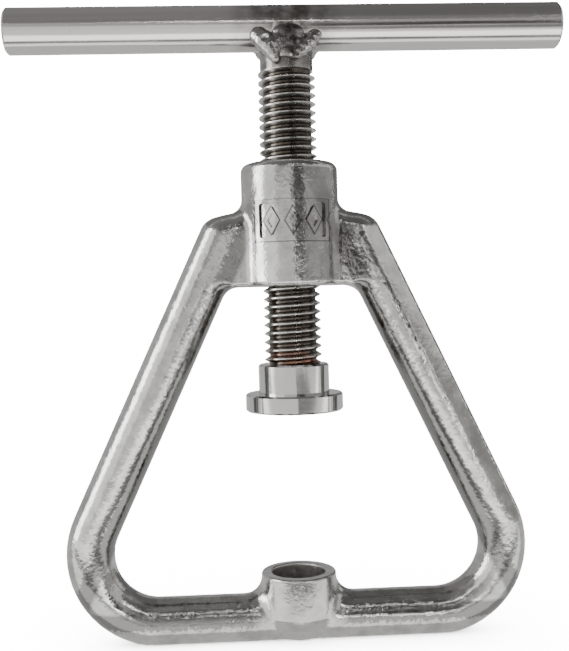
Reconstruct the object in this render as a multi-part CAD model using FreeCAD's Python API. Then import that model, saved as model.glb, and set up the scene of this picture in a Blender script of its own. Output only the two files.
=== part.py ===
import FreeCAD, Part
import math
import os

from FreeCAD import Vector

# Screw press nutcracker. Lengths in millimetres, +Z up, the screw's axis is the Z axis.
# The frame stands on the ground underside of its bottom bar at z = 0, in the XZ plane.

X_AXIS = Vector(1, 0, 0)
Y_AXIS = Vector(0, 1, 0)
Z_AXIS = Vector(0, 0, 1)
ORIGIN = Vector(0, 0, 0)

# A point this near a surface counts as lying on it
touch = 0.03

# Frame casting: round rod bent into legs and bottom bar, hub, webs and shoulders.
# The webs are as thick as the rod, so their flat faces run smoothly into the legs.
rod_radius = 4.2
bar_axis_height = 3.68
leg_foot_half_span = 43.25
leg_lean_degrees = 25.2
corner_radius = 12.0
hub_radius = 8.45
hub_bottom = 61.9
hub_length = 21.3
hub_rim_round = 1.4
hub_blend_radius = 2.4
web_lower_round = 0.9
window_corner_radius = 3.0
window_corner_edge_round = 0.3
window_corner_flat = 0.15
shoulder_below_hub_top = 8.0
shoulder_slope_degrees = 12.0
shoulder_round = 3.6

# Plaque: a raised border and three raised lozenge outlines on the hub's front
plaque_width = 12.4
plaque_height = 7.0
plaque_centre_below_hub_top = 10.3
plaque_corner_radius = 1.0
plaque_border = 0.6
plaque_relief = 0.45
lozenge_count = 3
lozenge_width = 2.7
lozenge_height = 4.7
lozenge_line = 0.55
lozenge_spacing = 3.6

# Nut cup in the middle of the bottom bar
cup_outer_radius = 6.6
cup_rim_height = 11.75
cup_wall = 1.9
cup_depth = 7.0
cup_floor_dish = 1.0
cup_rim_round = 0.4
cup_skirt_height = 4.6
cup_taper_degrees = 38.0
cup_below_base = 2.0
cup_blend_radius = 3.2

# Screw: coarse right-hand thread, plain neck above it
thread_diameter = 10.0
thread_pitch = 1.5
thread_depth = 0.86
thread_crest_width = 0.19
thread_flank_degrees = 30.0
thread_end_chamfer = 0.35
neck_radius = 4.6
neck_below_handle_axis = 7.6
ridge_embed = 0.1

# Tapped hole in the hub, cut to run on the screw
thread_fit_gap = 0.15
tapped_thread_height = 0.73
tapped_mouth_relief = 3.0

# Press foot: a turned collar and flange that hang on the screw's journal
foot_bottom = 40.2
flange_radius = 8.55
flange_thickness = 3.1
collar_radius = 6.2
collar_height = 5.1
foot_edge_chamfer = 0.3
journal_radius = 3.0
journal_gap = 0.05
thrust_gap = 0.05
recess_radius = 4.7
recess_depth = 2.5

# Washer on the journal's stub and the plug weld that holds it
washer_radius = 4.3
washer_thickness = 0.9
washer_play = 0.1
stub_radius = 2.0
plug_weld_radius = 2.9
plug_weld_height = 0.8

# Handle bar across the top, with a fillet weld in front and one behind
handle_radius = 4.0
handle_length = 96.0
handle_axis_height = 106.7
handle_end_chamfer = 0.4
weld_half_width = 5.2
weld_half_height = 3.6
weld_half_depth = 2.4
weld_below_handle_axis = 2.8
weld_behind_handle_face = 0.4

# Heights and places that follow from the sizes above
lean = math.radians(leg_lean_degrees)
web_half_thickness = rod_radius
hub_top = hub_bottom + hub_length
shoulder_top = hub_top - shoulder_below_hub_top
foot_top = foot_bottom + flange_thickness + collar_height
screw_shoulder = foot_top + thrust_gap
recess_roof = foot_bottom + recess_depth
journal_bottom = recess_roof - washer_play
stub_bottom = journal_bottom - washer_thickness
neck_bottom = handle_axis_height - neck_below_handle_axis
thread_radius = 0.5 * thread_diameter
thread_root_radius = thread_radius - thread_depth
thread_crest_half_width = 0.5 * thread_crest_width
thread_start = screw_shoulder - thread_pitch
flank_slope = math.tan(math.radians(thread_flank_degrees))
cup_inner_radius = cup_outer_radius - cup_wall
cup_floor = cup_rim_height - cup_depth


def solid_of(shape):
    """The one solid of a result, with faces that share a surface joined."""
    merge = Part.ShapeUpgrade.UnifySameDomain(shape)
    merge.initialize(shape, True, True, False)
    merge.build()
    return merge.shape().Solids[0]


def edges_where(shape, keep):
    """The shape's edges whose two ends and middle all pass the test."""
    chosen = []
    for edge in shape.Edges:
        first = edge.FirstParameter
        last = edge.LastParameter
        probes = [edge.valueAt(first), edge.valueAt(0.5 * (first + last)), edge.valueAt(last)]
        if all(keep(point) for point in probes):
            chosen.append(edge)
    return chosen


def axis_distance(point):
    """How far a point lies from the screw's axis."""
    return math.hypot(point.x, point.y)


def turned(points):
    """A solid of revolution about the screw's axis from (radius, height) points."""
    corners = [Vector(radius, 0, height) for radius, height in points]
    profile = Part.Face(Part.makePolygon(corners + corners[:1]))
    return profile.revolve(ORIGIN, Z_AXIS, 360).Solids[0]


def plate(points, half_thickness):
    """A plate parallel to the frame's plane from (x, z) points, centred on y = 0."""
    corners = [Vector(x, -half_thickness, z) for x, z in points]
    outline = Part.Face(Part.makePolygon(corners + corners[:1]))
    return outline.extrude(Vector(0, 2 * half_thickness, 0))


def leg_axis_x(height):
    """Distance of a leg's centre line from the screw's axis at a height."""
    return leg_foot_half_span - (height - bar_axis_height) * math.tan(lean)


def leg_inner_x(height):
    """Distance of a leg's inner outline from the screw's axis at a height."""
    return leg_axis_x(height) - rod_radius / math.cos(lean)


def shoulder_height(x):
    """Height of the sloping shoulder line at a distance from the screw's axis."""
    return shoulder_top - (x - hub_radius) * math.tan(math.radians(shoulder_slope_degrees))


def leg_top():
    """Where a leg's centre line meets the shoulder line, as x and height."""
    slope = math.tan(math.radians(shoulder_slope_degrees))
    fall = math.tan(lean)
    rise = shoulder_top - bar_axis_height + hub_radius * slope
    x = (leg_foot_half_span - rise * fall) / (1 - slope * fall)
    return x, shoulder_height(x)


def window_corner_centre():
    """Centre of the rounding in the window's right upper corner, as x and height."""
    half_opening = 0.5 * (math.radians(90) + lean)
    x = leg_inner_x(hub_bottom) - window_corner_radius / math.tan(half_opening)
    return x, hub_bottom - window_corner_radius


def leg_axis_beside_corner():
    """The point of the right leg's centre line straight out from that centre."""
    x, height = window_corner_centre()
    reach = window_corner_radius + rod_radius
    return x + reach * math.cos(lean), height + reach * math.sin(lean)


def bent_rod():
    """Both legs and the bottom bar as one round rod, cut off along the shoulder lines."""
    bend = math.radians(90) + lean
    tangent_length = corner_radius * math.tan(0.5 * bend)
    bend_centre_x = leg_foot_half_span - tangent_length
    bend_centre_z = bar_axis_height + corner_radius

    def on_bend(angle):
        return Vector(
            bend_centre_x + corner_radius * math.sin(angle), 0,
            bend_centre_z - corner_radius * math.cos(angle),
        )

    top_height = shoulder_top + rod_radius
    right = [on_bend(0), on_bend(0.5 * bend), on_bend(bend), Vector(leg_axis_x(top_height), 0, top_height)]
    left = [Vector(-point.x, 0, point.z) for point in right]
    spine = Part.Wire([
        Part.LineSegment(left[3], left[2]).toShape(),
        Part.Arc(left[2], left[1], left[0]).toShape(),
        Part.LineSegment(left[0], right[0]).toShape(),
        Part.Arc(right[0], right[1], right[2]).toShape(),
        Part.LineSegment(right[2], right[3]).toShape(),
    ])
    section = Part.Face(Part.Wire(Part.makeCircle(rod_radius, left[3], left[2] - left[3])))
    reach = leg_foot_half_span
    ceiling = hub_top + reach
    above_shoulders = plate(
        [
            (-reach, shoulder_height(reach)),
            (0, shoulder_height(0)),
            (reach, shoulder_height(reach)),
            (reach, ceiling),
            (-reach, ceiling),
        ],
        reach,
    )
    return spine.makePipe(section).cut(above_shoulders)


def webs():
    """The flat metal between the legs' centre lines, from the window up to the shoulders."""
    corner_x = window_corner_centre()[0] + 0.5 * window_corner_radius
    right = [(corner_x, hub_bottom), leg_axis_beside_corner(), leg_top()]
    left = [(-x, height) for x, height in reversed(right)]
    return plate(left + right + [(0, shoulder_height(0))], web_half_thickness)


def shouldered_rod():
    """Rod and webs as one, rounded over along the shoulders and round the legs' tips."""
    body = solid_of(bent_rod().fuse(webs()))

    def on_shoulder(point):
        return abs(point.z - shoulder_height(abs(point.x))) < touch

    ridge = [edge for edge in edges_where(body, on_shoulder) if abs(edge.CenterOfMass.x) > touch]
    return body.makeFillet(shoulder_round, ridge)


def window_corner():
    """The filling of the window's right upper corner, and what is rounded off it towards the leg."""
    centre_x, centre_z = window_corner_centre()
    ceiling = hub_bottom + window_corner_radius
    block = plate(
        [
            (centre_x, centre_z),
            (centre_x, ceiling),
            (leg_axis_x(ceiling), ceiling),
            leg_axis_beside_corner(),
        ],
        web_half_thickness,
    )
    opening = Part.makeCylinder(
        window_corner_radius, 4 * web_half_thickness,
        Vector(centre_x, -2 * web_half_thickness, centre_z), Y_AXIS,
    )
    filling = block.cut(opening).Solids[0]

    def on_inner_rim(point):
        off_opening = abs(math.hypot(point.x - centre_x, point.z - centre_z) - window_corner_radius)
        return off_opening < touch and abs(point.y) > web_half_thickness - touch

    nearly_half_round = web_half_thickness - window_corner_flat
    inner_rim = edges_where(filling, on_inner_rim)
    softened = filling.makeFillet(window_corner_edge_round, nearly_half_round, inner_rim)
    return filling, filling.cut(softened)


def hub():
    """The round hub, its upper rim rounded."""
    barrel = Part.makeCylinder(hub_radius, hub_length, Vector(0, 0, hub_bottom))
    barrel = barrel.makeFillet(hub_rim_round, edges_where(barrel, lambda point: point.z > hub_top - touch))
    barrel.rotate(ORIGIN, Z_AXIS, 90)
    return barrel


def frame_head():
    """Rod, webs, window corners and hub grown together, with the cast blends between them."""
    filling, rounded_off = window_corner()
    left_filling, left_rounded_off = [shape.mirror(ORIGIN, X_AXIS) for shape in (filling, rounded_off)]
    head = solid_of(shouldered_rod().fuse([filling, left_filling, hub()]))

    def on_hub_side(point):
        on_barrel = abs(axis_distance(point) - hub_radius) < touch
        beside_web = abs(point.y) < web_half_thickness + touch
        return on_barrel and beside_web and hub_bottom - touch < point.z < shoulder_height(0) + touch

    def on_lower_rim(point):
        return abs(point.z - hub_bottom) < touch and abs(point.y) > 0.5 * web_half_thickness

    joints = [
        edge for edge in edges_where(head, on_hub_side)
        if max(vertex.Z for vertex in edge.Vertexes) > hub_bottom + touch
    ]
    head = solid_of(head.makeFillet(hub_blend_radius, joints))
    head = solid_of(head.makeFillet(web_lower_round, edges_where(head, on_lower_rim)))
    return solid_of(head.cut([rounded_off, left_rounded_off]).Solids[0])


def cup_boss():
    """The cup's outside: a short cylinder on a cone that tapers into the bar."""
    shrink = math.tan(math.radians(cup_taper_degrees))
    tip_radius = cup_outer_radius - (cup_skirt_height + cup_below_base) * shrink
    boss = turned([
        (0, -cup_below_base),
        (tip_radius, -cup_below_base),
        (cup_outer_radius, cup_skirt_height),
        (cup_outer_radius, cup_rim_height),
        (0, cup_rim_height),
    ])
    boss.rotate(ORIGIN, Z_AXIS, 90)
    return boss


def cup_socket():
    """The hollow that holds the nut, with a dished floor."""
    return turned([
        (0, cup_floor - cup_floor_dish),
        (cup_inner_radius, cup_floor),
        (cup_inner_radius, cup_rim_height + cup_wall),
        (0, cup_rim_height + cup_wall),
    ])


def boss_radius_at(height):
    """Radius of the cup's outside at a height."""
    drop = max(0.0, cup_skirt_height - height)
    return cup_outer_radius - drop * math.tan(math.radians(cup_taper_degrees))


def with_cup(head):
    """The frame with the nut cup grown out of its bar and its underside ground flat."""
    floor_side = 4 * leg_foot_half_span
    below_floor = Part.makeBox(
        floor_side, floor_side, floor_side, Vector(-0.5 * floor_side, -0.5 * floor_side, -floor_side)
    )
    body = solid_of(head.fuse(cup_boss()))

    def on_boss_and_bar(point):
        off_boss = abs(axis_distance(point) - boss_radius_at(point.z))
        off_bar = abs(math.hypot(point.y, point.z - bar_axis_height) - rod_radius)
        return off_boss < touch and off_bar < touch

    body = solid_of(body.makeFillet(cup_blend_radius, edges_where(body, on_boss_and_bar)))
    body = body.cut(below_floor).cut(cup_socket()).Solids[0]
    rims = edges_where(body, lambda point: abs(point.z - cup_rim_height) < touch)
    return body.makeFillet(cup_rim_round, rims)


def rounded_slab(width, height, corner, middle_height):
    """A thick slab in front of the hub with the outline of a rounded rectangle."""
    slab = Part.makeBox(
        width, hub_radius + 2 * plaque_relief, height,
        Vector(-0.5 * width, -hub_radius - 2 * plaque_relief, middle_height - 0.5 * height),
    )
    along_y = [edge for edge in slab.Edges if abs(edge.Vertexes[0].Y - edge.Vertexes[-1].Y) > hub_radius]
    return slab.makeFillet(corner, along_y)


def lozenge(x, middle_height, line_inside):
    """A thick lozenge in front of the hub, drawn in from its full outline by a line's width."""
    half_width = 0.5 * lozenge_width
    half_height = 0.5 * lozenge_height
    side = math.hypot(half_width, half_height)
    reach_x = half_width - line_inside * side / half_height
    reach_z = half_height - line_inside * side / half_width
    return plate(
        [
            (x - reach_x, middle_height),
            (x, middle_height - reach_z),
            (x + reach_x, middle_height),
            (x, middle_height + reach_z),
        ],
        hub_radius + 2 * plaque_relief,
    )


def plaque():
    """Border and lozenges as a thin relief that follows the hub's curve."""
    middle_height = hub_top - plaque_centre_below_hub_top
    outer = rounded_slab(plaque_width, plaque_height, plaque_corner_radius, middle_height)
    inner = rounded_slab(
        plaque_width - 2 * plaque_border, plaque_height - 2 * plaque_border,
        plaque_corner_radius - plaque_border, middle_height,
    )
    stamps = [outer.cut(inner)]
    first_x = -0.5 * (lozenge_count - 1) * lozenge_spacing
    for index in range(lozenge_count):
        x = first_x + index * lozenge_spacing
        stamps.append(lozenge(x, middle_height, 0).cut(lozenge(x, middle_height, lozenge_line)))
    skin_bottom = middle_height - plaque_height
    skin = Part.makeCylinder(hub_radius + plaque_relief, 2 * plaque_height, Vector(0, 0, skin_bottom))
    core = Part.makeCylinder(hub_radius - plaque_relief, 2 * plaque_height, Vector(0, 0, skin_bottom))
    front = Part.makeBox(
        2 * plaque_width, 2 * hub_radius, 2 * plaque_height,
        Vector(-plaque_width, -2 * hub_radius, skin_bottom),
    )
    relief = skin.cut(core).common(front)
    return [relief.common(stamp) for stamp in stamps]


def helical_ridge(first_height, last_height, crest_radius, crest_half_width, root_radius):
    """A right-hand thread ridge round the screw's axis that starts above the +X side."""
    root_half_width = crest_half_width + (crest_radius - root_radius) * flank_slope
    corners = [
        Vector(root_radius, 0, -root_half_width),
        Vector(crest_radius, 0, -crest_half_width),
        Vector(crest_radius, 0, crest_half_width),
        Vector(root_radius, 0, root_half_width),
    ]
    path = Part.Wire(Part.makeHelix(thread_pitch, last_height - first_height, root_radius))
    sweep = Part.BRepOffsetAPI.MakePipeShell(path)
    sweep.setBiNormalMode(Z_AXIS)
    sweep.add(Part.makePolygon(corners + corners[:1]))
    sweep.build()
    sweep.makeSolid()
    ridge = sweep.shape()
    ridge.translate(Vector(0, 0, first_height))
    return ridge


def tapped_hole():
    """The hub's threaded hole as cutting tools: thread groove, bore and a plain relief at each mouth."""
    bore_radius = thread_radius + thread_fit_gap - tapped_thread_height
    groove_crest = thread_radius + thread_fit_gap
    side_gap = thread_fit_gap / math.cos(math.radians(thread_flank_degrees))
    crest_half_width = thread_crest_half_width + side_gap - thread_fit_gap * flank_slope
    turns_below = math.floor((hub_bottom - thread_start) / thread_pitch)
    groove_start = thread_start + turns_below * thread_pitch
    groove_end = hub_top
    groove = helical_ridge(
        groove_start, groove_end, groove_crest, crest_half_width, bore_radius - ridge_embed
    )
    relief_radius = groove_crest + thread_fit_gap
    slope_height = relief_radius - bore_radius
    reliefs = turned([
        (0, hub_bottom - thread_pitch),
        (relief_radius, hub_bottom - thread_pitch),
        (relief_radius, hub_bottom + tapped_mouth_relief),
        (bore_radius, hub_bottom + tapped_mouth_relief + slope_height),
        (bore_radius, hub_top - tapped_mouth_relief - slope_height),
        (relief_radius, hub_top - tapped_mouth_relief),
        (relief_radius, hub_top + thread_pitch),
        (0, hub_top + thread_pitch),
    ])
    return [groove, reliefs]


def frame_casting():
    """The whole frame as one casting with its tapped hole."""
    body = with_cup(frame_head())
    body = body.fuse(plaque())
    for tool in tapped_hole():
        body = body.cut(tool)
    return body.Solids[0]


def handle_bar():
    """The handle's plain round bar."""
    return Part.makeCylinder(
        handle_radius, handle_length, Vector(-0.5 * handle_length, 0, handle_axis_height), X_AXIS
    )


def tee_handle():
    """The handle bar with a small chamfer round each end."""
    bar = handle_bar()
    ends = edges_where(bar, lambda point: abs(point.x) > 0.5 * handle_length - touch)
    rims = [edge for edge in ends if edge.Closed]
    return bar.makeChamfer(handle_end_chamfer, rims)


def threaded_length():
    """The screw's thread from its chamfered lower end up to the plain neck."""
    core = turned([
        (0, thread_start),
        (thread_root_radius, thread_start),
        (thread_root_radius, neck_bottom + thread_pitch),
        (0, neck_bottom + thread_pitch),
    ])
    ridge = helical_ridge(
        thread_start, neck_bottom, thread_radius, thread_crest_half_width, thread_root_radius - ridge_embed
    )
    clear = thread_pitch
    ends = turned([
        (0, screw_shoulder),
        (thread_radius - thread_end_chamfer, screw_shoulder),
        (thread_radius + clear, screw_shoulder + thread_end_chamfer + clear),
        (thread_radius + clear, neck_bottom),
        (0, neck_bottom),
    ])
    return core.fuse(ridge).common(ends)


def feed_screw():
    """Stub, journal, thread and neck in one piece, its top hollowed to seat the handle."""
    overlap = thread_pitch
    journal = turned([
        (0, stub_bottom),
        (stub_radius, stub_bottom),
        (stub_radius, journal_bottom),
        (journal_radius, journal_bottom),
        (journal_radius, screw_shoulder + overlap),
        (0, screw_shoulder + overlap),
    ])
    neck = turned([
        (0, neck_bottom - overlap),
        (journal_radius, neck_bottom - overlap),
        (journal_radius, neck_bottom),
        (neck_radius, neck_bottom),
        (neck_radius, handle_axis_height),
        (0, handle_axis_height),
    ])
    return threaded_length().fuse([journal, neck]).removeSplitter().cut(handle_bar()).Solids[0]


def handle_weld():
    """A lens of weld metal in front of the handle joint and one behind it."""
    lens = Part.makeSphere(1.0)
    stretch = FreeCAD.Matrix()
    stretch.scale(weld_half_width, weld_half_depth, weld_half_height)
    lens = lens.transformGeometry(stretch)
    neck = Part.makeCylinder(
        neck_radius, handle_axis_height - neck_bottom + handle_radius, Vector(0, 0, neck_bottom)
    )
    beads = []
    for side in (-1, 1):
        bead = lens.copy()
        bead.translate(Vector(
            0, side * (handle_radius - weld_behind_handle_face),
            handle_axis_height - weld_below_handle_axis,
        ))
        beads.append(bead.cut(handle_bar()).cut(neck))
    return beads


def press_foot():
    """Collar and flange with the journal's bore and the recess for the washer."""
    blank = turned([
        (0, foot_bottom),
        (flange_radius, foot_bottom),
        (flange_radius, foot_bottom + flange_thickness),
        (collar_radius, foot_bottom + flange_thickness),
        (collar_radius, foot_top),
        (0, foot_top),
    ])
    inner_corner = foot_bottom + flange_thickness

    def on_outer_rim(point):
        at_corner = abs(point.z - inner_corner) < touch and axis_distance(point) < flange_radius - touch
        return axis_distance(point) > collar_radius - touch and not at_corner

    rims = [edge for edge in edges_where(blank, on_outer_rim) if edge.Closed]
    blank = blank.makeChamfer(foot_edge_chamfer, rims)
    bore = Part.makeCylinder(journal_radius + journal_gap, foot_top, Vector(0, 0, foot_bottom))
    recess = Part.makeCylinder(recess_radius, recess_depth, Vector(0, 0, foot_bottom))
    return blank.cut(bore).cut(recess)


def foot_washer():
    """The washer that sits on the stub against the journal's end."""
    disc = Part.makeCylinder(washer_radius, washer_thickness, Vector(0, 0, stub_bottom))
    hole = Part.makeCylinder(stub_radius, washer_thickness, Vector(0, 0, stub_bottom))
    return disc.cut(hole)


def washer_weld():
    """The domed plug weld under the stub that holds the washer on."""
    rise = plug_weld_height
    sphere_radius = (plug_weld_radius ** 2 + rise ** 2) / (2 * rise)
    ball = Part.makeSphere(sphere_radius, Vector(0, 0, stub_bottom - rise + sphere_radius))
    below = Part.makeCylinder(sphere_radius, rise, Vector(0, 0, stub_bottom - rise))
    return ball.common(below)


def write_part(name, solids):
    """One STEP file for a node, of one solid or of several."""
    bodies = solids if isinstance(solids, list) else [solids]
    bodies = [body.Solids[0] for body in bodies]
    shape = bodies[0] if len(bodies) == 1 else Part.makeCompound(bodies)
    shape.exportStep(os.path.join("parts", name + ".step"))
    volume = sum(body.Volume for body in bodies)
    valid = all(body.isValid() for body in bodies)
    print(name, "solids", len(bodies), "volume", round(volume, 1), "valid", valid)


os.makedirs("parts", exist_ok=True)
write_part("frame_casting", frame_casting())
write_part("feed_screw", feed_screw())
write_part("tee_handle", tee_handle())
write_part("handle_weld", handle_weld())
write_part("press_foot", press_foot())
write_part("foot_washer", foot_washer())
write_part("washer_weld", washer_weld())
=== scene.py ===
import math

import bpy
from mathutils import Matrix, Vector


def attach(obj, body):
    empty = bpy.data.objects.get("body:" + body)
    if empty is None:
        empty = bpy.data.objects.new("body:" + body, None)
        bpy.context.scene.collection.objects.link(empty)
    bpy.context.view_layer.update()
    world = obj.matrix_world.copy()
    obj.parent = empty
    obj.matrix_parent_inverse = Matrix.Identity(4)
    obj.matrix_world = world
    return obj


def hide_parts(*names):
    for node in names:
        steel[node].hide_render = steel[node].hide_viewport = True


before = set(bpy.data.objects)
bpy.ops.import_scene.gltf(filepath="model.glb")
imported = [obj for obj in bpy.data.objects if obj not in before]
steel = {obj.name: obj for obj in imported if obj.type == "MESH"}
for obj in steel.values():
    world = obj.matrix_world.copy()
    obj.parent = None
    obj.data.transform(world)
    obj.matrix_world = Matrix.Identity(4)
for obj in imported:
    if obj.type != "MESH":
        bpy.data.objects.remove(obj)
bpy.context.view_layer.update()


# The frame: one investment casting in stainless steel, with legs, bottom bar, hub and nut cup.
# It was tumbled and polished bright, so its skin is shiny but softly dented, and the cup's hollow
# is left as cast; painted shade darkens the window's inner sides and lines the raised plaque.
CAST_BRIGHT = (0.52, 0.515, 0.50, 1)
CAST_GREY = (0.40, 0.395, 0.385, 1)
CUP_RAW_GREY = (0.50, 0.49, 0.475, 1)
# Colour of the painted shade lines round the plaque and its lozenges.
PLAQUE_SHADE_GREY = (0.10, 0.098, 0.095, 1)
# Colour of the painted shade on the window's inner sides, where legs and bar face each other.
WINDOW_SHADE_GREY = (0.17, 0.167, 0.162, 1)
BAR_AXIS_HEIGHT = 0.00368
BAR_SHADE_FROM = 0.0021
LEG_FOOT_HALF_SPAN = 0.04325
LEG_LEAN = math.radians(25.2)
CORNER_EASE = 0.003
WINDOW_SHADE_STRENGTH = 0.85
SHADE_FROM, SHADE_FULL = 0.0014, 0.0019
SHADE_FADES, SHADE_GONE = 0.0044, 0.005
SHADE_RAGGED = 0.0004
CUP_CLEAR_FROM, CUP_CLEAR_TO = 0.0078, 0.0094
PLAQUE_MIDDLE_HEIGHT = 0.0729
PLAQUE_HALF_WIDTH = 0.0062
PLAQUE_HALF_HEIGHT = 0.0035
LOZENGE_SPACING = 0.0036
LOZENGE_HALF_WIDTH = 0.00135
LOZENGE_HALF_HEIGHT = 0.00235
LOZENGE_SHADE, BORDER_SHADE = 0.8, 0.75
HUB_FRONT_FROM, HUB_FRONT_TO = -0.0048, -0.005
CUP_HOLLOW_RADIUS = 0.00475
CUP_RIM_HEIGHT = 0.0118
HOLLOW_EDGE = 0.00015
RIM_EDGE = 0.0004
RAW_EXTRA_ROUGHNESS = 0.22
DENT_SIZE, DENT_DEPTH = 0.0030, 0.00010
CRINKLE_SIZE, CRINKLE_DEPTH = 0.00055, 0.000036
GRAIN_SIZE, GRAIN_DEPTH = 0.00022, 0.000009
SHINY, SATIN = 0.10, 0.22


def new_metal(name, roughness):
    """A bare metal finish with its shader ready for detail."""
    metal = bpy.data.materials.new(name)
    metal.use_nodes = True
    shader = metal.node_tree.nodes["Principled BSDF"]
    shader.inputs["Metallic"].default_value = 1.0
    shader.inputs["Roughness"].default_value = roughness
    return metal, metal.node_tree, shader


def place_in_metal(tree, stretch=(1, 1, 1)):
    """Where a point lies in the piece, drawn out or squeezed along its axes."""
    place = tree.nodes.new("ShaderNodeTexCoord")
    mapping = tree.nodes.new("ShaderNodeMapping")
    mapping.inputs["Scale"].default_value = stretch
    tree.links.new(place.outputs["Object"], mapping.inputs["Vector"])
    return mapping.outputs["Vector"]


def mottle(tree, where, size, detail=2.0):
    """Cloudy unevenness with patches of about that size."""
    cloud = tree.nodes.new("ShaderNodeTexNoise")
    cloud.inputs["Scale"].default_value = 1.0 / size
    cloud.inputs["Detail"].default_value = detail
    tree.links.new(where, cloud.inputs["Vector"])
    return cloud.outputs["Fac"]


def spread(tree, value, low, high, to_low, to_high):
    """The value between two limits, spread over another range."""
    span = tree.nodes.new("ShaderNodeMapRange")
    span.inputs["From Min"].default_value = low
    span.inputs["From Max"].default_value = high
    span.inputs["To Min"].default_value = to_low
    span.inputs["To Max"].default_value = to_high
    tree.links.new(value, span.inputs["Value"])
    return span.outputs["Result"]


def tint(tree, amount, first, second):
    """A colour that goes from the first to the second as the amount rises."""
    mix = tree.nodes.new("ShaderNodeMix")
    mix.data_type = "RGBA"
    for end, colour in (("A", first), ("B", second)):
        socket = next(entry for entry in mix.inputs if entry.name == end and entry.type == "RGBA")
        if isinstance(colour, tuple):
            socket.default_value = colour
        else:
            tree.links.new(colour, socket)
    tree.links.new(amount, mix.inputs["Factor"])
    return next(entry for entry in mix.outputs if entry.type == "RGBA")


def relief(tree, height, depth, under=None):
    """Shallow ups and downs of that depth in metres, on top of those under it."""
    bump = tree.nodes.new("ShaderNodeBump")
    bump.inputs["Strength"].default_value = 1.0
    bump.inputs["Distance"].default_value = depth
    tree.links.new(height, bump.inputs["Height"])
    if under is not None:
        tree.links.new(under, bump.inputs["Normal"])
    return bump.outputs["Normal"]


def distance_from_axis(tree, where):
    """How far a point lies from the screw's axis."""
    flat = tree.nodes.new("ShaderNodeVectorMath")
    flat.operation = "MULTIPLY"
    flat.inputs[1].default_value = (1, 1, 0)
    length = tree.nodes.new("ShaderNodeVectorMath")
    length.operation = "LENGTH"
    tree.links.new(where, flat.inputs[0])
    tree.links.new(flat.outputs["Vector"], length.inputs[0])
    return length.outputs["Value"]


def axes_of(tree, where):
    """How far a point lies sideways, back and up in the piece."""
    split = tree.nodes.new("ShaderNodeSeparateXYZ")
    tree.links.new(where, split.inputs["Vector"])
    return split.outputs["X"], split.outputs["Y"], split.outputs["Z"]


def reckon(tree, operation, *values):
    """One step of arithmetic on numbers and on values that change over the piece."""
    step = tree.nodes.new("ShaderNodeMath")
    step.operation = operation
    for socket, value in zip(step.inputs, values):
        if isinstance(value, float):
            socket.default_value = value
        else:
            tree.links.new(value, socket)
    return step.outputs["Value"]


def both(tree, first, second):
    """The product of two amounts."""
    return reckon(tree, "MULTIPLY", first, second)


def plus(tree, first, second):
    """The sum of two amounts."""
    return reckon(tree, "ADD", first, second)


def plaque_painted_shade(tree, where):
    """Painted shade: dark lines in the corners round the plaque's border and its lozenges."""
    sideways, back, height = axes_of(tree, where)
    aside = reckon(tree, "ABSOLUTE", sideways)
    above = reckon(tree, "ABSOLUTE", reckon(tree, "SUBTRACT", height, PLAQUE_MIDDLE_HEIGHT))
    off_lozenge = reckon(tree, "PINGPONG", aside, 0.5 * LOZENGE_SPACING)
    lozenge = plus(
        tree,
        reckon(tree, "DIVIDE", off_lozenge, LOZENGE_HALF_WIDTH),
        reckon(tree, "DIVIDE", above, LOZENGE_HALF_HEIGHT),
    )
    border = reckon(
        tree, "MAXIMUM",
        reckon(tree, "DIVIDE", aside, PLAQUE_HALF_WIDTH),
        reckon(tree, "DIVIDE", above, PLAQUE_HALF_HEIGHT),
    )
    round_lozenge = reckon(tree, "ABSOLUTE", reckon(tree, "SUBTRACT", lozenge, 1.03))
    round_border = reckon(tree, "ABSOLUTE", reckon(tree, "SUBTRACT", border, 1.01))
    shade_lines = plus(
        tree,
        spread(tree, round_lozenge, 0.06, 0.13, LOZENGE_SHADE, 0),
        spread(tree, round_border, 0.014, 0.034, BORDER_SHADE, 0),
    )
    in_front = spread(tree, back, HUB_FRONT_TO, HUB_FRONT_FROM, 1, 0)
    return both(tree, shade_lines, both(tree, spread(tree, border, 1.06, 1.08, 1, 0), in_front))


def window_painted_shade(tree, where, crinkles):
    """Painted shade on the inner side of the bent rod round the window: the legs' inner sides and the
    bar's upper side.
    """
    sideways, _, height = axes_of(tree, where)
    above_bar = reckon(tree, "ADD", height, BAR_SHADE_FROM - BAR_AXIS_HEIGHT)
    slanted = plus(
        tree,
        reckon(tree, "MULTIPLY", reckon(tree, "ABSOLUTE", sideways), -math.cos(LEG_LEAN)),
        reckon(tree, "MULTIPLY", height, -math.sin(LEG_LEAN)),
    )
    leg_offset = LEG_FOOT_HALF_SPAN * math.cos(LEG_LEAN) + BAR_AXIS_HEIGHT * math.sin(LEG_LEAN)
    inside_leg = reckon(tree, "ADD", slanted, leg_offset)
    inward = reckon(tree, "SMOOTH_MIN", above_bar, inside_leg, CORNER_EASE)
    ragged = plus(tree, inward, spread(tree, crinkles, 0.3, 0.7, -SHADE_RAGGED, SHADE_RAGGED))
    darkening = both(
        tree,
        spread(tree, ragged, SHADE_FROM, SHADE_FULL, 0, WINDOW_SHADE_STRENGTH),
        spread(tree, inward, SHADE_FADES, SHADE_GONE, 1, 0),
    )
    from_cup = distance_from_axis(tree, where)
    return both(tree, darkening, spread(tree, from_cup, CUP_CLEAR_FROM, CUP_CLEAR_TO, 0, 1))


def cup_rawness(tree, where):
    """The cup's hollow, which was left as cast."""
    from_axis = distance_from_axis(tree, where)
    height = axes_of(tree, where)[2]
    in_hollow = spread(tree, from_axis, CUP_HOLLOW_RADIUS, CUP_HOLLOW_RADIUS + HOLLOW_EDGE, 1, 0)
    return both(tree, in_hollow, spread(tree, height, CUP_RIM_HEIGHT, CUP_RIM_HEIGHT + RIM_EDGE, 1, 0))


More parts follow.
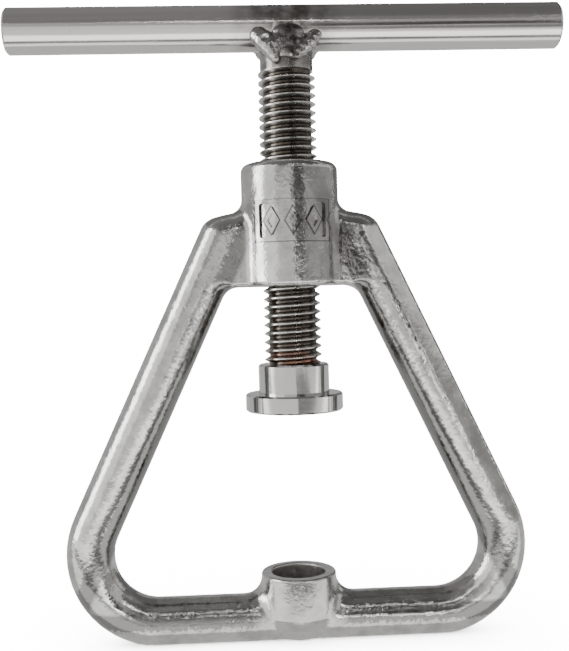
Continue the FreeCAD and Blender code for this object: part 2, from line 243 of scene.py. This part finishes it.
def cast_steel():
    metal, tree, shader = new_metal("tumbled_cast_steel", SATIN)
    where = place_in_metal(tree)
    dents = mottle(tree, where, DENT_SIZE)
    crinkles = mottle(tree, where, CRINKLE_SIZE, 1.5)
    grain = mottle(tree, where, GRAIN_SIZE, 1.0)
    raw = cup_rawness(tree, where)
    colour = tint(tree, spread(tree, dents, 0.35, 0.65, 0, 1), CAST_GREY, CAST_BRIGHT)
    colour = tint(tree, raw, colour, CUP_RAW_GREY)
    # Painted shade: dark lines in the corners round the plaque's border and lozenges.
    colour = tint(tree, plaque_painted_shade(tree, where), colour, PLAQUE_SHADE_GREY)
    # Painted shade darkens the inner sides of the legs and the upper side of the bar round the window.
    colour = tint(tree, window_painted_shade(tree, where, crinkles), colour, WINDOW_SHADE_GREY)
    tree.links.new(colour, shader.inputs["Base Color"])
    rough = plus(
        tree,
        spread(tree, crinkles, 0.3, 0.7, SHINY, SATIN),
        spread(tree, raw, 0, 1, 0, RAW_EXTRA_ROUGHNESS),
    )
    tree.links.new(rough, shader.inputs["Roughness"])
    skin = relief(tree, dents, DENT_DEPTH)
    skin = relief(tree, crinkles, CRINKLE_DEPTH, skin)
    skin = relief(tree, grain, GRAIN_DEPTH, skin)
    tree.links.new(skin, shader.inputs["Normal"])
    return metal


def finish_in(node, metal):
    """The piece as it came from the bench, in its own finish."""
    node.data.materials.clear()
    node.data.materials.append(metal)


finish_in(steel["frame_casting"], cast_steel())


# The screw: one stainless bar with a rolled coarse thread and a plain neck under the handle.
# Its crests keep the bare steel colour; painted shade darkens the flanks into the roots, over a brown
# film of oil, and a copper heat tint is strongest in the last turns above the foot, where the heat of
# the plug weld coloured them.
SCREW_CREST_RADIUS = 0.005
SCREW_ROOT_RADIUS = 0.00414
CREST_BRIGHT = (0.52, 0.51, 0.49, 1)
# The roots' colour: painted shade with a brown tone of oil.
ROOT_SHADE_BROWN = (0.085, 0.074, 0.064, 1)
HEAT_COPPER = (0.27, 0.14, 0.10, 1)
HEATED_FROM = 0.0486
HEATED_TO = 0.0520
NECK_DARK_GREY = (0.12, 0.115, 0.11, 1)
NECK_FROM = 0.0985
NECK_FADE = 0.0012
CREST_FLAT = 0.00015
SCUFF_SIZE, SCUFF_DEPTH = 0.0006, 0.00001
SMEAR_SIZE = 0.0026


def rolled_thread_steel():
    metal, tree, shader = new_metal("rolled_thread_steel", 0.2)
    where = place_in_metal(tree)
    radius = distance_from_axis(tree, where)
    height = axes_of(tree, where)[2]
    scuffs = mottle(tree, where, SCUFF_SIZE, 3.0)
    smears = mottle(tree, where, SMEAR_SIZE)
    out_of_root_shade = spread(tree, radius, SCREW_ROOT_RADIUS, SCREW_CREST_RADIUS - CREST_FLAT, 0, 1)
    # Painted shade: the colour darkens from the crests down into the thread roots, over a brown tone
    # of oil.
    colour = tint(tree, out_of_root_shade, ROOT_SHADE_BROWN, CREST_BRIGHT)
    heat = spread(tree, height, HEATED_FROM, HEATED_TO, 0.75, 0)
    patchy = both(tree, heat, spread(tree, smears, 0.42, 0.58, 0, 1))
    colour = tint(tree, patchy, colour, HEAT_COPPER)
    # The neck under the handle is tinted a darker grey.
    neck = spread(tree, height, NECK_FROM, NECK_FROM + NECK_FADE, 0, 0.85)
    darkening = both(tree, neck, spread(tree, smears, 0.35, 0.6, 0.35, 1))
    colour = tint(tree, darkening, colour, NECK_DARK_GREY)
    tree.links.new(colour, shader.inputs["Base Color"])
    tree.links.new(spread(tree, scuffs, 0.3, 0.7, 0.14, 0.3), shader.inputs["Roughness"])
    tree.links.new(relief(tree, scuffs, SCUFF_DEPTH), shader.inputs["Normal"])
    return metal


finish_in(steel["feed_screw"], rolled_thread_steel())


# The handle: a length of drawn round bar, sawn off and lightly chamfered.
# Drawing and a lengthwise brushing left fine straight lines from end to end, and the weld's
# heat left a brownish stain round its middle.
BAR_LIGHT = (0.66, 0.65, 0.64, 1)
BAR_DARK = (0.55, 0.535, 0.52, 1)
HEAT_STAIN = (0.14, 0.12, 0.105, 1)
STAIN_REACH = 0.0100
STAIN_CORE = 0.0035
STAIN_CLOUD = 0.0030
DRAWN_OUT = (0.02, 1, 1)
DRAWN_FAR_OUT = (0.01, 1, 1)
LINE_SIZE, LINE_DEPTH = 0.00035, 0.000005
BAND_SIZE = 0.0012


def drawn_bar_steel():
    metal, tree, shader = new_metal("drawn_bar_steel", 0.14)
    lines = mottle(tree, place_in_metal(tree, DRAWN_OUT), LINE_SIZE)
    bands = mottle(tree, place_in_metal(tree, DRAWN_FAR_OUT), BAND_SIZE, 1.0)
    where = place_in_metal(tree)
    aside = reckon(tree, "ABSOLUTE", axes_of(tree, where)[0])
    clouds = mottle(tree, where, STAIN_CLOUD, 3.0)
    near_weld = spread(tree, aside, STAIN_CORE, STAIN_REACH, 0.85, 0)
    stain = both(tree, near_weld, spread(tree, clouds, 0.35, 0.6, 0.2, 1))
    colour = tint(tree, bands, BAR_DARK, BAR_LIGHT)
    colour = tint(tree, stain, colour, HEAT_STAIN)
    tree.links.new(colour, shader.inputs["Base Color"])
    tree.links.new(spread(tree, lines, 0.3, 0.7, 0.10, 0.2), shader.inputs["Roughness"])
    tree.links.new(relief(tree, lines, LINE_DEPTH), shader.inputs["Normal"])
    return metal


finish_in(steel["tee_handle"], drawn_bar_steel())


# The handle weld: beads of stainless filler laid by hand in the corners between bar and neck,
# one smooth and one rippled, with a darker bridge between them, in front and again behind.
# They were left as laid, glossy with a dark oxide film in the middle.
MILLIMETRE = 0.001
SMOOTH_BEAD = (
    ((-5.3, -2.5, 105.3), (1.5, 1.3, 1.5)),
    ((-4.7, -3.4, 104.5), (1.7, 1.5, 1.7)),
    ((-3.9, -4.1, 103.6), (1.8, 1.5, 1.8)),
    ((-3.1, -4.5, 102.6), (1.6, 1.3, 1.7)),
    ((-2.5, -4.6, 101.6), (1.3, 1.1, 1.5)),
    ((-2.1, -4.6, 100.7), (0.9, 0.8, 1.1)),
)
RIPPLED_BEAD = (
    ((5.2, -2.4, 105.5), (1.3, 1.2, 1.0)),
    ((4.8, -3.0, 104.8), (1.4, 1.3, 1.0)),
    ((4.3, -3.6, 104.0), (1.5, 1.4, 1.0)),
    ((3.7, -4.1, 103.2), (1.5, 1.4, 0.95)),
    ((3.0, -4.4, 102.4), (1.4, 1.3, 0.9)),
    ((2.2, -4.6, 101.6), (1.3, 1.1, 0.9)),
    ((1.4, -4.7, 100.9), (1.1, 0.9, 0.8)),
)
BRIDGE = (
    ((0.2, -3.9, 104.9), (2.8, 1.2, 1.8)),
    ((-1.2, -4.2, 103.4), (1.9, 1.0, 1.6)),
    ((1.0, -4.2, 103.0), (1.9, 1.0, 1.5)),
    ((0.0, -4.4, 101.8), (1.6, 0.8, 1.3)),
)
DROP_SEGMENTS, DROP_RINGS = 32, 16
MELT_SIZE = 0.00016
SETTLE_ROUNDS = 12
CRATER = Vector((-0.0037, -0.0056, 0.1040))
CRATER_DEPTH = 0.0006
CRATER_REACH = 0.0009
WELD_BRIGHT = (0.46, 0.45, 0.435, 1)
WELD_OXIDE = (0.055, 0.05, 0.046, 1)
WELD_OXIDE_MIDDLE = 0.0004
WELD_OXIDE_CORE, WELD_OXIDE_REACH = 0.0008, 0.0034
WELD_CLOUD = 0.0012
RIPPLE_SIZE, RIPPLE_DEPTH = 0.0007, 0.00004
RIPPLE_SQUEEZE = (1, 1, 2.5)


def weld_drops(side):
    """The drops of filler of one side, run together; the back is laid the other way round."""
    bpy.ops.object.select_all(action="DESELECT")
    drops = []
    for (x, y, z), size in SMOOTH_BEAD + RIPPLED_BEAD + BRIDGE:
        bpy.ops.mesh.primitive_uv_sphere_add(
            segments=DROP_SEGMENTS, ring_count=DROP_RINGS, radius=MILLIMETRE, scale=size,
            location=(MILLIMETRE * side * x, MILLIMETRE * side * y, MILLIMETRE * z),
        )
        drops.append(bpy.context.object)
    for drop in drops:
        drop.select_set(True)
    bpy.context.view_layer.objects.active = drops[0]
    bpy.ops.object.join()
    bead = bpy.context.object
    bpy.ops.object.transform_apply(location=True, rotation=True, scale=True)
    melt = bead.modifiers.new("melt", "REMESH")
    melt.mode = "VOXEL"
    melt.voxel_size = MELT_SIZE
    bpy.ops.object.modifier_apply(modifier="melt")
    settle = bead.modifiers.new("settle", "SMOOTH")
    settle.factor = 0.5
    settle.iterations = SETTLE_ROUNDS
    bpy.ops.object.modifier_apply(modifier="settle")
    bpy.ops.object.mode_set(mode="EDIT")
    bpy.ops.mesh.select_all(action="DESELECT")
    bpy.ops.object.mode_set(mode="OBJECT")
    crater = Vector((side * CRATER.x, side * CRATER.y, CRATER.z))
    nearest = min(bead.data.vertices, key=lambda vertex: (vertex.co - crater).length)
    nearest.select = True
    bpy.ops.object.mode_set(mode="EDIT")
    bpy.ops.transform.translate(
        value=(0, side * CRATER_DEPTH, 0), use_proportional_edit=True,
        proportional_edit_falloff="SMOOTH", proportional_size=CRATER_REACH,
    )
    bpy.ops.object.mode_set(mode="OBJECT")
    return bead


def weld_steel():
    metal, tree, shader = new_metal("laid_weld_steel", 0.16)
    where = place_in_metal(tree)
    sideways = axes_of(tree, where)[0]
    clouds = mottle(tree, where, WELD_CLOUD, 3.0)
    ripples = mottle(tree, place_in_metal(tree, RIPPLE_SQUEEZE), RIPPLE_SIZE, 1.0)
    beside = reckon(tree, "ABSOLUTE", reckon(tree, "SUBTRACT", sideways, WELD_OXIDE_MIDDLE))
    film = both(
        tree,
        spread(tree, beside, WELD_OXIDE_CORE, WELD_OXIDE_REACH, 1, 0.25),
        spread(tree, clouds, 0.3, 0.6, 0.55, 1),
    )
    tree.links.new(tint(tree, film, WELD_BRIGHT, WELD_OXIDE), shader.inputs["Base Color"])
    tree.links.new(spread(tree, film, 0, 1, 0.1, 0.34), shader.inputs["Roughness"])
    tree.links.new(relief(tree, ripples, RIPPLE_DEPTH), shader.inputs["Normal"])
    return metal


front_bead = weld_drops(1)
back_bead = weld_drops(-1)
bpy.ops.object.select_all(action="DESELECT")
front_bead.select_set(True)
back_bead.select_set(True)
bpy.context.view_layer.objects.active = front_bead
bpy.ops.object.join()
weld_beads = bpy.context.object
weld_beads.name = "handle_weld_beads"
bpy.ops.object.shade_smooth()
laid_weld = weld_steel()
finish_in(weld_beads, laid_weld)
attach(weld_beads, "screw")
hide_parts("handle_weld")


# The press foot: a stepped button turned from bar, free to swivel on the screw's journal.
# The cutting tool left fine rings round its sides and faces.
TURNED_GREY = (0.52, 0.515, 0.51, 1)
RING_SIZE, RING_DEPTH = 0.00015, 0.000003


def turned_steel():
    metal, tree, shader = new_metal("turned_steel", 0.1)
    where = place_in_metal(tree)
    join = tree.nodes.new("ShaderNodeCombineXYZ")
    tree.links.new(distance_from_axis(tree, where), join.inputs["X"])
    tree.links.new(axes_of(tree, where)[2], join.inputs["Z"])
    rings = mottle(tree, join.outputs["Vector"], RING_SIZE)
    shader.inputs["Base Color"].default_value = TURNED_GREY
    tree.links.new(spread(tree, rings, 0.3, 0.7, 0.06, 0.13), shader.inputs["Roughness"])
    tree.links.new(relief(tree, rings, RING_DEPTH), shader.inputs["Normal"])
    return metal


turned = turned_steel()
for node in ("press_foot", "foot_washer"):
    finish_in(steel[node], turned)
for node in ("handle_weld", "washer_weld"):
    finish_in(steel[node], laid_weld)


# The studio: a pale floor in an evenly lit white room, with soft panels round the press.
# The panels are out of the picture and light nothing but the steel, which mirrors them.
# Bearings count from the photographer's side, 90 being the press's right.
PANEL_DISTANCE = 0.8
UPRIGHT_PANELS = (
    ("left_back_panel", -150, -92, 0, 0.8, (0.7, 0.7, 0.7)),
    ("left_softbox", -92, -68, 0, 0.8, (8, 8, 8)),
    ("left_front_panel", -68, -36, 0, 0.8, (1.9, 1.9, 1.88)),
    ("left_near_low_panel", -36, 4, 0, 0.2, (1.15, 1.13, 1.1)),
    ("left_near_middle_panel", -36, 4, 0.2, 0.45, (0.6, 0.59, 0.57)),
    ("front_high_panel", -36, 34, 0.45, 0.8, (0.27, 0.265, 0.26)),
    ("front_middle_panel", 4, 34, 0.26, 0.45, (0.5, 0.49, 0.47)),
    ("photographer_flag", 4, 30, 0.03, 0.26, (0.10, 0.098, 0.095)),
    ("right_near_low_panel", 30, 34, 0.03, 0.26, (0.3, 0.295, 0.29)),
    ("right_low_panel", 34, 122, 0, 0.28, (0.5, 0.49, 0.48)),
    ("right_high_panel", 34, 122, 0.28, 0.8, (1.1, 1.09, 1.08)),
    ("right_back_panel", 122, 160, 0, 0.8, (0.25, 0.25, 0.25)),
    ("back_panel", 160, 210, 0, 0.8, (0.5, 0.5, 0.5)),
)
LEVEL_PANELS = (
    ("overhead_left_flag", (-1.2, 0), (-0.6, 1.9), 0.62, (0.30, 0.295, 0.29)),
    ("overhead_right_flag", (0, 1.2), (-0.6, 1.9), 0.62, (0.19, 0.187, 0.184)),
    ("table_edge", (-1.2, 1.2), (-1.2, -0.155), 0.0003, (1.3, 1.27, 1.24)),
    ("table_front", (-1.2, 1.2), (-0.155, -0.062), 0.0003, (3.0, 3.0, 2.95)),
    # A dark strip on the table: painted shadow and painted reflection of the press itself, seen only
    # in the steel.
    ("table_painted_shadow", (-1.2, 1.2), (-0.062, -0.031), 0.0003, (0.33, 0.325, 0.32)),
    ("table_under", (-1.2, 1.2), (-0.031, -0.006), 0.0003, (2.0, 2.0, 1.97)),
    ("table_back", (-1.2, 1.2), (-0.006, 1.9), 0.0003, (0.85, 0.85, 0.84)),
    ("table_shade", (0.03, 0.35), (-0.8, -0.25), 0.0006, (0.3, 0.297, 0.293)),
)
FLOOR_SIZE = 8
FLOOR_WHITE = (0.9, 0.9, 0.9, 1)
FLOOR_ROUGHNESS = 0.8
ROOM_WHITE = (1, 1, 1, 1)
ROOM_LIGHT = 20.0


def soft_panel(name, brightness):
    """The plane just added, made a glowing panel that only polished metal shows."""
    panel = bpy.context.object
    panel.name = name
    glow = bpy.data.materials.new(name)
    glow.use_nodes = True
    glow.node_tree.nodes.clear()
    light = glow.node_tree.nodes.new("ShaderNodeEmission")
    light.inputs["Color"].default_value = brightness + (1,)
    surface = glow.node_tree.nodes.new("ShaderNodeOutputMaterial")
    glow.node_tree.links.new(light.outputs["Emission"], surface.inputs["Surface"])
    panel.data.materials.append(glow)
    panel.visible_camera = False
    panel.visible_shadow = False
    panel.visible_diffuse = False


def upright_panel(name, from_bearing, to_bearing, bottom, top, brightness):
    """A panel on edge that fills the view from the press between two bearings."""
    bearing = math.radians(0.5 * (from_bearing + to_bearing))
    width = 2 * PANEL_DISTANCE * math.tan(math.radians(0.5 * (to_bearing - from_bearing)))
    out, aside = PANEL_DISTANCE * math.cos(bearing), PANEL_DISTANCE * math.sin(bearing)
    bpy.ops.mesh.primitive_plane_add(
        size=1, location=(aside, -out, 0.5 * (bottom + top)), rotation=(math.radians(90), 0, bearing)
    )
    bpy.context.object.scale = (width, top - bottom, 1)
    soft_panel(name, brightness)


def level_panel(name, sides, ends, height, brightness):
    """A panel lying flat over the press or on the table round it."""
    bpy.ops.mesh.primitive_plane_add(
        size=1, location=(0.5 * (sides[0] + sides[1]), 0.5 * (ends[0] + ends[1]), height)
    )
    bpy.context.object.scale = (sides[1] - sides[0], ends[1] - ends[0], 1)
    soft_panel(name, brightness)


bpy.ops.object.select_all(action="DESELECT")
for panel in UPRIGHT_PANELS:
    upright_panel(*panel)
for panel in LEVEL_PANELS:
    level_panel(*panel)

bpy.ops.mesh.primitive_plane_add(size=FLOOR_SIZE, location=(0, 0, 0))
floor = bpy.context.object
floor.name = "floor"
paint = bpy.data.materials.new("pale_floor")
paint.use_nodes = True
matt = paint.node_tree.nodes["Principled BSDF"]
matt.inputs["Base Color"].default_value = FLOOR_WHITE
matt.inputs["Roughness"].default_value = FLOOR_ROUGHNESS
floor.data.materials.append(paint)

world = bpy.data.worlds.new("white_room")
bpy.context.scene.world = world
world.use_nodes = True
world.node_tree.nodes["Background"].inputs["Color"].default_value = ROOM_WHITE
world.node_tree.nodes["Background"].inputs["Strength"].default_value = ROOM_LIGHT


# The camera stands low and close in front, a little left of the middle and rolled slightly.
CAMERA_PLACE = Vector((-0.010027, -0.170298, 0.060458))
CAMERA_TARGET = Vector((-0.00143, 0, 0.05507))
CAMERA_ROLL = math.radians(-1.46)
SENSOR_WIDTH = 36
LENS = 53.765
NEAREST_SEEN = 0.005
camera_data = bpy.data.cameras.new("camera")
camera_data.sensor_width = SENSOR_WIDTH
camera_data.lens = LENS
camera_data.clip_start = NEAREST_SEEN
camera = bpy.data.objects.new("camera", camera_data)
bpy.context.scene.collection.objects.link(camera)
bpy.context.scene.camera = camera
look = (CAMERA_TARGET - CAMERA_PLACE).to_track_quat("-Z", "Y").to_matrix().to_4x4()
camera.matrix_world = Matrix.Translation(CAMERA_PLACE) @ look @ Matrix.Rotation(CAMERA_ROLL, 4, "Z")
